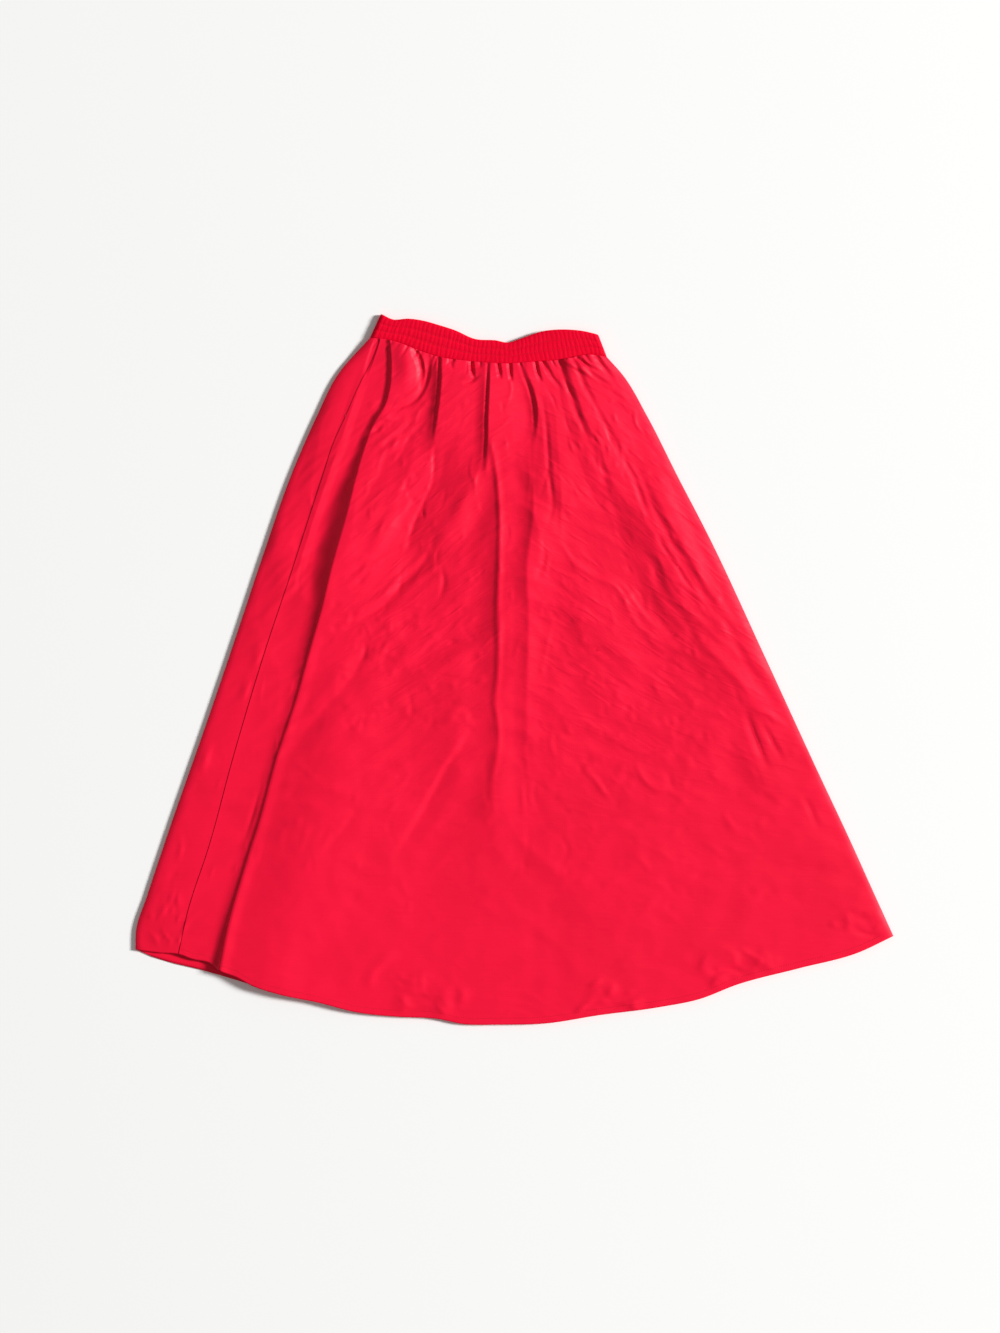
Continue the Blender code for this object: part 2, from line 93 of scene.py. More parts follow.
# Folds and creases of the front: a smooth line, heights spread evenly along it (below zero for a trough,
# and a single one for its middle, with 0 at both ends), its spread to the picture's left and right going
# down (to below and above where it runs to the right), and the form of each side: round (0), so that the
# crest is round too, straight (1) or hollow (2)
Fold = namedtuple("Fold", "name line heights left right left_form right_form", defaults=(1, 1))
MAIN_FOLDS = [Fold(*row) for row in (
    ("deep fold", DEEP_FOLD,
     (3, 4.5, 4.5, 6, 9, 12, 12.5, 9.5, 6, 3.8, 2.8, 2.5, 2.5, 2.5, 2.6, 2.9, 3.4, 4.4, 5.8),
     (7, 8, 9, 13, 22, 31, 31, 27, 22, 18, 18, 18, 18, 18, 18, 18, 18, 17, 16), (50, 110, 170, 170), 2, 0),
    ("deep fold's lip", DEEP_FOLD[8:], (0, 1.1, 1.1, 1.1, 1.1, 1.2, 1.4, 1.6), 3.5, 16, 1, 0),
    ("strip ridge", [(-199, 430), (-207, 411), (-241, 316), (-272, 227), (-292, 166), (-313, 91)],
     (0, 1.2, 1.4, 1.4, 1.2, 0), 9, 10),
    ("seam notch", [(-190, 456), (-199, 430), (-207, 408)], (-4, -3, 0), 6, 4, 0),
    ("left bulge", [(-152, 448), (-148, 415), (-156, 380)], (2, 3, 0), 20, 18, 0, 0),
    ("bulge slit", [(-136, 442), (-130, 430), (-127, 412), (-131, 390)], (-3, -4, -3, 0), 9, 3.5, 0),
    ("bulge crease", [(-117, 432), (-119, 412), (-124, 393), (-135, 376), (-156, 364), (-180, 362)],
     (-1, -2.5, -3, -3, -2.5, 0), 9, 4, 0),
    ("small smile", [(-205, 322), (-192, 332), (-174, 337)], -3.5, 5, 8, 1, 0),
    ("small smile's lip", [(-196, 344), (-178, 348), (-156, 344)], 2, 5, 10),
    ("smile streak 1", [(-192, 312), (-172, 326), (-146, 340)], 1.8, 6, 7),
    ("smile streak 2", [(-186, 296), (-168, 310), (-148, 320)], 1.6, 6, 6),
    ("left slit", [(-104, 434), (-104, 400), (-108, 360), (-114, 318)], (-1.6, -1.8, -1.2, 0), 4, 3, 0),
    ("left pleat", [(-100, 434), (-101, 400), (-105, 360), (-111, 318), (-113, 296)],
     (3, 5.8, 6.4, 4.8, 0), 20, 70, 2),
    ("left broad slope", [(-124, 335), (-138, 300), (-154, 255), (-176, 215), (-200, 160)],
     (0, 4, 5, 4, 0), 36, 46, 1, 0),
    ("middle left slope", [(-52, 310), (-58, 272), (-73, 229), (-106, 184), (-130, 160)],
     (0, 4, 4.5, 3.5, 0), 42, 34, 1, 0),
    ("crinkle line", [(-111, 322), (-111, 296), (-113, 262), (-124, 234), (-138, 204), (-150, 168)],
     (0, -1.2, -1, -1.4, -1.6, 0), 4, 9, 1, 2),
    ("small pleat 1", [(-60, 430), (-58, 416), (-56, 402)], (-6, -5, 0), 4, 3.5),
    ("centre left slit", [(-36, 428), (-37, 395), (-39, 350), (-40, 310), (-46, 272)],
     (-1.6, -1.8, -1.8, -1.2, 0), 4, 3, 0),
    ("centre left pleat", [(-33, 428), (-34, 395), (-36, 350), (-37, 310), (-40, 262)],
     (3, 5.6, 6.2, 5.2, 0), 20, 70, 2),
    ("centre broad ridge", [(-28, 330), (-22, 270), (-20, 222), (-20, 175), (-21, 106), (-22, 0),
     (-24, -70), (-28, -150), (-26, -265)], (0, 4, 5, 5, 4, 3.2, 2.8, 2.2, 0), 44, 70, 2, 0),
    ("centre crease", [(-33, 330), (-24, 268), (-20, 222), (-20, 160), (-23, 83), (-22, 0), (-26, -52),
     (-22, -72), (-26, -135), (-33, -160), (-28, -200)],
     (0, 1.6, 1.5, 1.4, 1.4, 1.2, 1.3, 1.2, 1.1, 0.8, 0), 6, 9, 1, 2),
    ("small pleat 2", [(-22, 426), (-20, 414), (-19, 402)], (-4, -4, 0), 4, 3),
    ("small pleat 3", [(-6, 425), (-5, 412), (-4, 398)], (-5, -4, 0), 4, 3),
    ("centre right slit", [(8, 427), (13, 410), (22, 388), (28, 362), (28, 335), (26, 318)],
     (-0.8, -1.2, -1.6, -1.6, -1, 0), 5, 4, 0),
    ("centre right pleat", [(14, 424), (20, 408), (28, 386), (33, 360), (32, 335), (30, 312)],
     (1.2, 3, 5, 5.2, 3.4, 0), 18, 46, 2),
    ("centre right ridge", [(30, 345), (27, 320), (26, 277), (26, 208), (22, 180), (18, 150), (20, 75),
     (18, -8), (17, -88), (18, -200)], (0, 3, 4.5, 4.5, 3.8, 3.4, 2.8, 1.8, 1, 0), (24, 24, 18), 100, 2, 0),
    ("streaky middle", [(56, 410), (58, 350), (62, 290), (66, 232), (68, 180)],
     (0, 4.4, 5.6, 4.2, 0), 36, 130, 1, 0),
    ("small pleat 4", [(30, 427), (33, 412), (38, 398)], (-4, -4, 0), 4, 3),
    ("thin crease", [(38, 385), (40, 368), (44, 342), (47, 300), (50, 263), (54, 225)],
     (0, -0.8, -1.4, -1, -1.4, 0), 5, 5),
    ("right slit 1", [(40, 428), (46, 418), (54, 404), (68, 388)], (-3, -2.5, -2, 0), 5, 4),
    ("wrinkled valley", [(64, 430), (69, 409), (80, 382), (90, 351), (104, 319), (118, 287), (131, 254),
     (144, 212), (161, 187), (180, 166), (197, 143), (202, 124), (214, 101), (242, 61), (252, 42),
     (272, 19), (296, -8), (323, -35), (355, -56), (385, -72)],
     (-2.5, -1.4, -2, -0.6, -1.6, -0.5, -0.8, -0.5, -1.8, -0.6, -1.2, -0.3, -0.7, -0.3, -0.5, 0),
     (9, 10, 12, 12, 12), (6, 7, 8, 9, 9), 0),
    ("valley's right side", [(74, 426), (78, 412), (91, 370), (117, 306), (139, 258), (181, 210),
     (198, 162), (219, 103), (251, 55), (278, 17), (315, -20), (353, -52), (384, -84)],
     (3.6, 4, 4.2, 4.2, 4.3, 4.6, 4.2, 3.6, 3, 3, 2.8, 2, 0),
     (16, 24, 30, 32, 36, 40, 36, 32, 30, 34, 36, 36, 30), (90, 96, 80, 64), 1, 0),
    ("long streak", [(84, 431), (92, 410), (108, 375), (131, 333), (152, 296), (168, 263), (182, 226),
     (192, 205)], (-2, -1.4, -1, -1.2, -0.8, -1.1, -1.8, 0), 8, 5, 0),
    ("edge streak", [(168, 290), (185, 250), (200, 215), (222, 178), (245, 140), (264, 109), (301, 56),
     (333, -3), (376, -56)], (0, -1, -1.2, -1, -1.4, -1.1, -1.4, -1.2, 0), 12, 6, 0),
    ("edge streak's right side", [(176, 292), (196, 246), (222, 196), (246, 152), (272, 112), (310, 60),
     (342, 2), (388, -56)], (0, 1.4, 1.8, 2, 2, 2, 1.8, 0), (12, 14, 16), 50, 1, 0),
    ("edge double line", [(192, 196), (212, 162), (226, 143), (240, 120), (258, 102)],
     (0, -1.4, -1.2, -1.5, 0), 3.5, 4),
    ("corner ridge", [(66, 430), (84, 421), (103, 411), (122, 400), (138, 388)],
     (1, 2.4, 2.6, 2, 0), 5, 10),
    ("corner ridge 2", [(92, 432), (106, 424), (122, 414)], (1, 2, 0), 4, 7),
    ("right groove", [(96, 420), (108, 409), (120, 401), (136, 393)], (0, -2.5, -2.5, 0), 4, 5),
    ("right groove top", [(88, 433), (98, 424), (108, 416)], (-3, -2, 0), 4, 4),
    ("right edge pleat", [(112, 436), (124, 420), (140, 402)], (-3, -2, 0), 5, 5),
    ("lower left swell", [(-222, 40), (-236, -60), (-258, -180), (-292, -320), (-318, -440)],
     (0, 3.5, 5, 5, 4), (80, 90, 100, 90), (150, 200), 0, 0),
    ("ray valley 1", [(-108, 190), (-124, 152), (-148, 130), (-174, 98), (-198, 80), (-255, 70)],
     (0, -2.5, -3, -3, -2, 0), 6, 15),
    ("ray valley 2", [(-198, 50), (-206, 25), (-216, 6), (-233, -20), (-256, -48), (-290, -86),
     (-316, -126)], (0, -1.4, -2.2, -1.8, -2.2, -1.2, 0), 16, 24),
    ("middle shoulder left", [(-66, 60), (-76, -20), (-84, -100), (-92, -180)],
     (0, 2, 2.5, 0), 60, 50, 0, 0),
    ("middle shoulder right", [(92, 180), (98, 90), (110, 0), (122, -90)], (0, 2.5, 2.5, 0), 60, 90, 0, 0),
    ("long ripple", [(34, 180), (60, 178), (82, 150), (109, 131), (141, 115), (152, 99), (165, 72),
     (184, 51), (210, 37), (232, 44)], (0, 1, 1.2, 1.8, 2, 1.3, 1.2, 1, 0.8, 0), 15, 5, 2),
    ("long ripple's twin", [(118, 134), (150, 117), (168, 92), (194, 61), (226, 41)],
     (0, 1.1, 1.1, 1.1, 0), 12, 4, 2),
)]

# Smaller creases
CREASES = [Fold(*row) for row in (
    ("fold companion", [(-350, -156), (-361, -195), (-378, -247)], -0.9, 5, 4, 0),
    ("pleat nick", [(-72, 396), (-60, 400), (-46, 410)], -3, 3.5, 4),
    ("bulge dimple", [(-84, 434), (-88, 424), (-84, 416)], (-3, -2, 0), 4, 4),
    ("right slit 2", [(70, 404), (76, 388), (84, 372)], -2, 4, 4),
    ("ray dark 1", [(-190, 152), (-214, 143), (-235, 128)], -2.2, 5, 8),
    ("ray dark 2", [(-200, 138), (-214, 124), (-230, 112)], -2, 5, 8),
    ("ray bright", [(-128, 152), (-146, 134), (-168, 119), (-184, 102), (-204, 90), (-232, 88)],
     (0, 1.2, 1.4, 1.4, 1, 0), 5, 5),
    ("left line 1", [(-262, 57), (-235, 60), (-204, 59)], -1.2, 4, 5),
    ("left line 2", [(-149, 85), (-121, 80), (-93, 82)], -1.2, 4, 4),
    ("left line 3", [(-110, 41), (-78, 36), (-56, 31)], -1.2, 4, 4),
    ("left line 4", [(-128, -9), (-94, -11), (-56, -15)], -1.2, 4, 4),
    ("left line 5", [(-140, -47), (-90, -49), (-56, -54)], -1.2, 4, 4),
    ("left line 6", [(-256, -68), (-214, -63), (-130, -58)], -1.4, 6, 4),
    ("left drop", [(-101, 146), (-98, 120), (-106, 95)], -1.6, 4, 6),
    ("left dip", [(-206, 38), (-208, 22), (-216, 8)], -2, 4, 5),
    ("faint crease", [(-50, -66), (-75, -107), (-94, -135), (-112, -168), (-135, -209), (-168, -262)],
     (0, -1.4, -1.6, -1.4, -1.2, 0), 4, 24),
    ("faint crease 2", [(-212, -188), (-242, -228), (-272, -264)], -1, 5, 20),
    ("right line 1", [(50, 35), (104, 29), (164, 24)], -1.4, 4, 4),
    ("right line 2", [(52, -10), (93, 8), (136, 18), (180, 21)], (0, 1.4, 1.4, 0), 4, 5),
    ("right line 3", [(188, 24), (242, 18), (272, 12)], -1.4, 4, 4),
    ("right line 4", [(166, -124), (194, -120), (228, -118)], 1.5, 5, 5),
    ("right line 5", [(140, -204), (184, -198), (218, -189)], 1.2, 4, 5),
    ("right line 6", [(32, -228), (77, -219), (116, -216)], 1.2, 5, 6),
    ("right hook 1", [(91, -134), (111, -152), (125, -171), (137, -183)], (0, 1.3, 1.3, 0), 4, 6),
    ("right hook 2", [(166, -124), (184, -158), (216, -169), (244, -191)], (0, 1.2, 1.2, 0), 4, 6),
    ("right dimple", [(45, 84), (54, 78), (66, 72)], -1.6, 4, 4),
    ("fork 1", [(322, -52), (331, -83), (344, -115), (356, -141)], (0, -2, -2, 0), 10, 4),
    ("fork 2", [(342, -70), (358, -98), (375, -128)], -2, 7, 4),
    ("fork 3", [(322, -52), (354, -62), (380, -82)], 1.6, 5, 5),
    ("edge dent", [(400, -172), (412, -194), (424, -222)], -1.4, 7, 4, 0),
    ("valley tooth 2", [(100, 326), (112, 318), (121, 308)], -1.4, 5, 5),
    ("valley tooth 4", [(118, 282), (132, 270), (146, 266)], -1.4, 5, 4),
    ("strip dent 1", [(-348, 34), (-356, 16), (-364, 2)], 1.0, 12, 6, 0, 0),
    ("strip dent 2", [(-365, -10), (-372, -28), (-379, -46)], 1.1, 12, 6, 0, 0),
    ("strip dent 3", [(-418, -98), (-427, -122), (-434, -146)], 1.2, 13, 7, 0, 0),
)]

# Puckers at the hem, in four numbered places: plates that rise to the right and drop, and ridges
HEM_PUCKERS = [Fold(*row) for row in (
    ("1 arc", [(-158, -396), (-182, -408), (-196, -424), (-200, -446)], (0, 1.1, 1.1, 0), 14, 5),
    ("1 plate", [(-143, -421), (-138, -436), (-142, -455)], (0, 1.2, 1.2, 1.2, 0), 42, 14),
    ("1 dark plate", [(-99, -438), (-96, -450), (-102, -465)], (0, 1.5, 1.5, 0), 50, 14),
    ("1 foot", [(-148, -450), (-154, -462), (-156, -478)], (0, 0.9, 0.9, 0), 17, 14),
    ("1 second foot", [(-99, -456), (-97, -468), (-90, -484)], (0, 1, 1, 0), 20, 14),
    ("1 end", [(-66, -437), (-71, -450), (-80, -465)], (0, 1, 1, 0), 22, 14),
    ("1 tip", [(-120, -418), (-124, -428), (-130, -441)], (0, 0.6, 0.6, 0), 10, 14),
    ("1 top", [(-176, -432), (-158, -426), (-146, -418)], 0.4, 5, 14),
    ("2 peak", [(126, -427), (114, -434), (102, -443)], (0, 1, 1, 0), 5, 4),
    ("2 plate", [(139, -431), (134, -444), (132, -457)], (0, 0.8, 0.8, 0), 16, 14),
    ("2 lower peak", [(128, -441), (112, -448), (98, -453)], (0, 0.9, 0.9, 0), 5, 4),
    ("2 foot", [(167, -453), (169, -463), (164, -476)], (0, 1.3, 1.3, 0), 58, 14),
    ("2 slope", [(116, -455), (100, -464), (84, -479)], (0, 1, 1.1, 0), 8, 4),
    ("3 plate", [(304, -383), (300, -396), (304, -413)], (0, 1.3, 1.3, 0), 42, 14),
    ("3 second plate", [(341, -390), (344, -402), (338, -416)], (0, 1, 1, 0), 34, 14),
    ("3 bright ridge", [(311, -386), (328, -396), (346, -405)], (0, 1.2, 1.2, 0), 4, 4),
    ("3 end", [(360, -390), (359, -405), (354, -423)], (0, 0.8, 0.8, 0), 12, 14),
    ("3 start", [(270, -396), (267, -411), (262, -429)], (0, 0.9, 0.9, 0), 20, 14),
    ("3 arc", [(274, -424), (298, -416), (324, -423)], (0, -1.6, -1.6, 0), 4, 4),
    ("3 foot", [(294, -421), (285, -432), (279, -446)], (0, 0.9, 0.9, 0), 16, 14),
    ("4 plate", [(503, -328), (501, -340), (494, -354)], (0, 1.2, 1.2, 0), 38, 14),
    ("4 top", [(445, -345), (470, -336), (498, -328)], (0, 0.8, 0.8, 0), 4, 4),
    ("4 start", [(481, -344), (476, -358)], 0.8, 28, 14),
    ("4 foot", [(468, -360), (490, -368), (512, -371)], (0, -1.4, -1.4, 0), 4, 4),
)]

# Thin ridges among them, all of one height and spread
THIN_PUCKERS = [
    [(-126, -417), (-128, -430), (-131, -442)], [(-160, -452), (-152, -464), (-158, -477)],
    [(-110, -458), (-104, -470), (-96, -481)], [(-80, -444), (-72, -452), (-78, -463)],
    [(-134, -444), (-122, -452), (-112, -456)], [(122, -429), (112, -436), (104, -443)],
    [(138, -434), (134, -446), (128, -454)], [(116, -456), (100, -464), (84, -479)],
    [(166, -457), (164, -467), (168, -474)], [(272, -392), (262, -404), (258, -424)],
    [(352, -392), (350, -404), (356, -420)], [(284, -422), (278, -432), (274, -444)],
    [(300, -390), (306, -402), (300, -412)], [(500, -332), (506, -344), (512, -360)],
    [(466, -336), (462, -346), (472, -358)], [(446, -347), (441, -353), (452, -358)],
]
HEM_PUCKERS += [Fold("thin pucker", line, (0, 0.9, 0.9, 0), 2.5, 9, 1, 2) for line in THIN_PUCKERS]

# The cloth's crumple, in layers: length along a crease, distance between creases, height and seed.
# The creases fall away to both sides of a middle line, as they do from a gathered waist.
Crumple = namedtuple("Crumple", "length spacing height seed")
CRUMPLES = [
    Crumple(150, 90, 3.0, 1),
    Crumple(85, 42, 1.6, 2),
    Crumple(40, 16, 0.9, 3),
]
CRUMPLE_MIDDLE = 10.0
CRUMPLE_FALL = 0.75
CRUMPLE_FALLS = (-420.0, 150.0)
CRUMPLE_BEND = 60.0
CRUMPLE_DRIFT = 150.0
CRUMPLE_REACH = ((0.0, 0.06, 0.2, 0.5, 0.72, 1.0), (0.2, 0.6, 0.9, 0.9, 0.55, 0.45))
NOISE_SIZE = 64

# Short creases, in groups: the place of their middles, how many, their direction and how far it varies,
# in degrees from the x axis, their lengths and their heights
Strokes = namedtuple("Strokes", "name left right low high count angle spread lengths heights")
STROKES = [Strokes(*row) for row in (
    ("left rays", -225, -45, 60, 380, 46, 44, 22, (14, 70), (0.4, 1.3)),
    ("left middle", -250, -45, -80, 90, 84, 6, 24, (12, 50), (0.4, 1.2)),
    ("left foot", -330, -120, -240, -40, 30, 40, 22, (20, 80), (0.3, 0.9)),
    ("middle", -50, 75, -250, 390, 36, 88, 10, (20, 100), (0.3, 0.9)),
    ("right rays", 40, 215, 60, 400, 34, -42, 22, (14, 60), (0.3, 1.1)),
    ("right edge", 140, 400, -160, 300, 30, -56, 14, (16, 60), (0.3, 1.0)),
    ("right middle", 30, 300, -170, 110, 120, 2, 20, (12, 50), (0.4, 1.2)),
    ("lower right", 40, 360, -340, -150, 70, 6, 26, (14, 50), (0.3, 1.0)),
    ("lower left", -300, 40, -330, -80, 40, 20, 34, (20, 80), (0.2, 0.7)),
    ("strip", -470, -240, -360, 330, 44, 66, 20, (16, 60), (0.2, 0.7)),
    ("crinkle cluster", -152, -108, 165, 252, 18, 58, 30, (8, 26), (0.4, 1.1)),
    ("valley streaks", 84, 150, 236, 396, 22, -62, 9, (16, 56), (0.4, 1.2)),
    ("valley streaks 2", 150, 236, 84, 236, 20, -54, 9, (16, 50), (0.4, 1.2)),
    ("valley teeth", 84, 150, 236, 372, 8, 0, 20, (8, 20), (0.4, 0.9)),
    ("under the bulge", -200, -130, 296, 366, 12, 34, 14, (16, 40), (0.5, 1.3)),
    ("strip foot", -505, -462, -380, -190, 34, 58, 34, (10, 36), (0.5, 1.3)),
    ("hem patch 1", -186, -72, -474, -424, 14, 14, 30, (12, 34), (0.3, 0.9)),
    ("hem patch 2", 96, 166, -474, -444, 9, 14, 24, (12, 34), (0.3, 0.9)),
    ("hem patch 3", 256, 356, -430, -392, 14, 14, 24, (12, 34), (0.3, 0.9)),
    ("hem patch 4", 456, 506, -364, -336, 7, 10, 24, (10, 30), (0.3, 0.9)),
)]
STROKE_SEED = 3
STROKE_BOW = 0.12
STROKE_STEEP = (2.0, 4.0)
STROKE_GENTLE = (5.0, 14.0)
STEEP_LEFT_SHARE = 0.7

# Finest crinkles, only in the shading, in metres: length, spacing and height. They grow faint towards a
# place on one axis of the flat cut, in metres too: where they are faintest, where full, and what is left.
CRINKLES = [(0.075, 0.036, 0.0009), (0.030, 0.012, 0.0005), (0.012, 0.004, 0.00015)]
CRINKLES_FADE = [("Y", 0.72, 0.40, 0.25), ("X", -0.28, -0.18, 0.15)]

# Tiny gathers just under the band
GATHER_COUNT = 28
GATHER_SEED = 11
GATHER_DEPTH = (0.4, 2.2)
GATHER_LENGTH = (10.0, 30.0)
GATHER_SPREAD = (2.0, 3.4)
GATHER_SHIFT = 0.35
GATHER_LEAN = 0.012
GATHER_START = 3.0

# The flat cut of a panel, in metres: its width at the waist and the hem, and its length
CUT_WIDTHS = (0.55, 1.1)
CUT_LENGTH = 0.95

# Sewing
SEAM_PROUD = 0.3
SEAM_SUNK = 0.1
SEAM_SPREAD = 7.0
STITCH_PITCH = 3.2
STITCH_LENGTH = 2.3
STITCH_WIDTH = 0.55
STITCH_HEIGHT = 0.35
HEM_STITCH_INSET = 8.0
HEM_STITCH_LIFT = 0.05
HEM_STITCH_ENDS = (0.002, 0.985)
HEM_STITCH_SAMPLES = 1500
BAND_STITCH_ROWS = (0.36, 0.66)
BAND_STITCH_WIDTH = 0.05
BAND_STITCH_LIFT = 0.1
BAND_STITCH_ENDS = (0.02, 0.98)
BAND_STITCH_SAMPLES = 900

# Ribs of the gathered band, its slow wave and its rounded top edge and ends
BAND_RIBS = 52
RIB_HEIGHT = 0.4
RIB_WAVER = 0.28
RIB_SIZE = (0.72, 0.4)
RIB_SEED = 5
RIBS_SETTLE = 0.5
CHANNEL_HEIGHT = 0.5
BAND_WAVE = 0.8
BAND_WAVES = 1.4
BAND_CALM_END = 0.02
BAND_EDGE = 0.06
BAND_EDGE_STEPS = 7
BAND_END_TURN = 1.25
BAND_END_STEPS = 14

# Grids: every second point of the outer face carries the plain inner face, so steps are even in number
ROW_SPACING = ((0.0, 0.04, 0.12, 0.3, 0.6, 0.9, 0.97, 1.0), (1.3, 1.6, 2.4, 3.1, 3.8, 4.8, 2.6, 1.6))
ROW_STEPS = 270
STRIP_STEPS = 22
WALL_STEPS = 12
MAIN_STEPS = 222
EDGE_STEPS = 8
TUCK_STEPS = 6
BACK_UNDER_STEPS = 60
BAND_TOP_STEPS = 416
BAND_UNDER_STEPS = 208
BAND_OUTER_STEPS = 26
BAND_INNER_STEPS = 6
FOLD_WALL = 13.0
LEAST_STRIP = 1.2
LINE_SAMPLES = 60
ROW_SAMPLES = 2000

# Materials: light and dark colour, roughness, gloss, and pitch of the weave in metres
SKIRT_CLOTH = ((0.96, 0.0016, 0.041), (0.90, 0.0012, 0.035), 0.5, 0.24, 0.0005)
# The band's tones are darker than the skirt's: partly its duller gathered cloth, partly painted shade
# between its ribs
BAND_CLOTH_AND_RIB_SHADE = ((0.88, 0.001, 0.028), (0.80, 0.001, 0.022), 0.6, 0.05, 0.0005)
THREAD = ((0.78, 0.012, 0.04), (0.6, 0.008, 0.03), 0.55, 0.2, 0.0003)
CLOUDS = {"Scale": 9.0, "Detail": 5.0, "Roughness": 0.6}
SLUB_SCALE = (28.0, 900.0, 100.0)
SLUB_SHARE = 0.3
TONE_RANGE = (0.42, 0.86)
ROUGHNESS_RANGE = (-0.05, 0.07)
WEAVE_BUMP = {"Strength": 0.25, "Distance": 0.00008}
SLUB_BUMP = {"Strength": 0.35, "Distance": 0.00025}
WEFT_TO_WARP = 1.6
SHEEN = {"Sheen Weight": 0.02, "Sheen Roughness": 0.45, "Sheen Tint": (1.0, 0.25, 0.3, 1.0)}

# Camera and picture: the photograph's 1000 px across are 1.39 m on the surface
PICTURE_SIZE = (1000, 1333)
MM_PER_PX = 1.39
PICTURE_CENTRE = (-19.5, 4.2)
LENS = 85.0
SENSOR = 36.0

# Floor and light, in metres and watts: a far, low lamp from the right and an even fill
FLOOR_SIZE = 60.0
FLOOR_DROP = 0.0004
FLOOR_LOOK = {"Base Color": (0.97, 0.97, 0.96, 1.0), "Roughness": 0.9, "Specular IOR Level": 0.1}
KEY_PLACE = (24.8, 3.0, 13.1)
KEY_SIZE = 5.4
KEY_POWER = 12500.0
FILL = {"Color": (1.0, 1.0, 0.99, 1.0), "Strength": 0.25}


def smooth_curve(points):
    """A function of 0 to 1 along a smooth curve through the points, in step with its length."""
    points = np.array(points, float)
    steps = np.linalg.norm(np.diff(points, axis=0), axis=1)
    knots = np.concatenate(([0.0], np.cumsum(steps))) / steps.sum()
    slopes = np.gradient(points, knots, axis=0)

    def at(place):
        place = np.clip(np.asarray(place, float), 0.0, 1.0)
        left = np.clip(np.searchsorted(knots, place, side="right") - 1, 0, len(knots) - 2)
        width = (knots[left + 1] - knots[left])[..., None]
        s = (place - knots[left])[..., None] / width
        start = (2 * s**3 - 3 * s**2 + 1) * points[left] + (s**3 - 2 * s**2 + s) * width * slopes[left]
        end = (3 * s**2 - 2 * s**3) * points[left + 1] + (s**3 - s**2) * width * slopes[left + 1]
        return start + end

    return at


def fade(value, start, end):
    """0 up to start, 1 from end on, and a smooth step between them."""
    s = np.clip((value - start) / (end - start), 0.0, 1.0)
    return s * s * (3.0 - 2.0 * s)


def even(values, place):
    """The value at a place from 0 to 1, of values spread evenly; a single one holds all along."""
    values = np.atleast_1d(values)
    return np.interp(place, np.linspace(0.0, 1.0, len(values)), values)


class Layer:
    """One layer of the laid skirt as a patch: u runs from left to right, v from waist to hem."""

    def __init__(self, hem):
        self.left = smooth_curve(LEFT_EDGE)
        self.right = smooth_curve(RIGHT_EDGE)
        self.waist = smooth_curve(WAIST_SEAM)
        self.hem = smooth_curve(hem)

    def at(self, u, v):
        u, v = np.broadcast_arrays(np.asarray(u, float), np.asarray(v, float))
        a, b = u[..., None], v[..., None]
        along = (1 - b) * self.waist(u) + b * self.hem(u)
        across = (1 - a) * self.left(v) + a * self.right(v)
        waist_ends = (1 - a) * self.waist(0.0) + a * self.waist(1.0)
        hem_ends = (1 - a) * self.hem(0.0) + a * self.hem(1.0)
        return along + across - (1 - b) * waist_ends - b * hem_ends

    def width(self, v):
        return np.linalg.norm(self.at(1.0, v) - self.at(0.0, v), axis=-1)

    def u_of_line(self, line, v):
        """Where the row at v crosses a line that runs down the left half of the skirt."""
        path = smooth_curve(line)(np.linspace(0.0, 1.0, LINE_SAMPLES))
        u = np.linspace(0.0, 0.5, 8 * LINE_SAMPLES)
        row = self.at(u, v)
        beyond = row[:, 0] - np.interp(-row[:, 1], -path[:, 1], path[:, 0])
        return float(np.interp(0.0, beyond, u))


FRONT = Layer(FRONT_HEM)
BACK = Layer(BACK_HEM)


def nearest_on_line(xy, path):
    """Distance to a path, how far along it the nearest place is, and whether xy is on its right."""
    start, run = path[:-1], np.diff(path, axis=0)
    offset = xy[..., None, :] - start
    part = np.clip((offset * run).sum(-1) / (run * run).sum(-1), 0.0, 1.0)
    away = offset - part[..., None] * run
    distance = np.linalg.norm(away, axis=-1)
    nearest = distance.argmin(axis=-1)[..., None]
    part = np.take_along_axis(part, nearest, axis=-1)[..., 0]
    away = np.take_along_axis(away, nearest[..., None], axis=-2)[..., 0, :]
    along = run[nearest[..., 0]]
    on_right = along[..., 0] * away[..., 1] - along[..., 1] * away[..., 0] > 0
    return distance.min(axis=-1), (nearest[..., 0] + part) / len(run), on_right


def side_form(t, form):
    """From 1 on a fold's line to 0 at its reach: round, straight or hollow."""
    rest = 1.0 - np.clip(t, 0.0, 1.0)
    return np.select((form == 0, form == 1), (fade(rest, 0.0, 1.0), rest), rest**2)


def fold_height(xy, folds):
    """Height that the folds add at each place; only places within a fold's reach are worked out."""
    total = np.zeros(xy.shape[:-1])
    for fold in folds:
        heights = fold.heights if np.ndim(fold.heights) else (0.0, fold.heights, 0.0)
        reach = max(np.max(fold.left), np.max(fold.right))
        path = smooth_curve(fold.line)(np.linspace(0.0, 1.0, 8 * len(fold.line)))
        near = np.all((xy > path.min(0) - reach) & (xy < path.max(0) + reach), axis=-1)
        if not near.any():
            continue
        distance, place, on_right = nearest_on_line(xy[near], path)
        spread = np.where(on_right, even(fold.right, place), even(fold.left, place))
        form = np.where(on_right, fold.right_form, fold.left_form)
        total[near] += even(heights, place) * side_form(distance / spread, form)
    return total


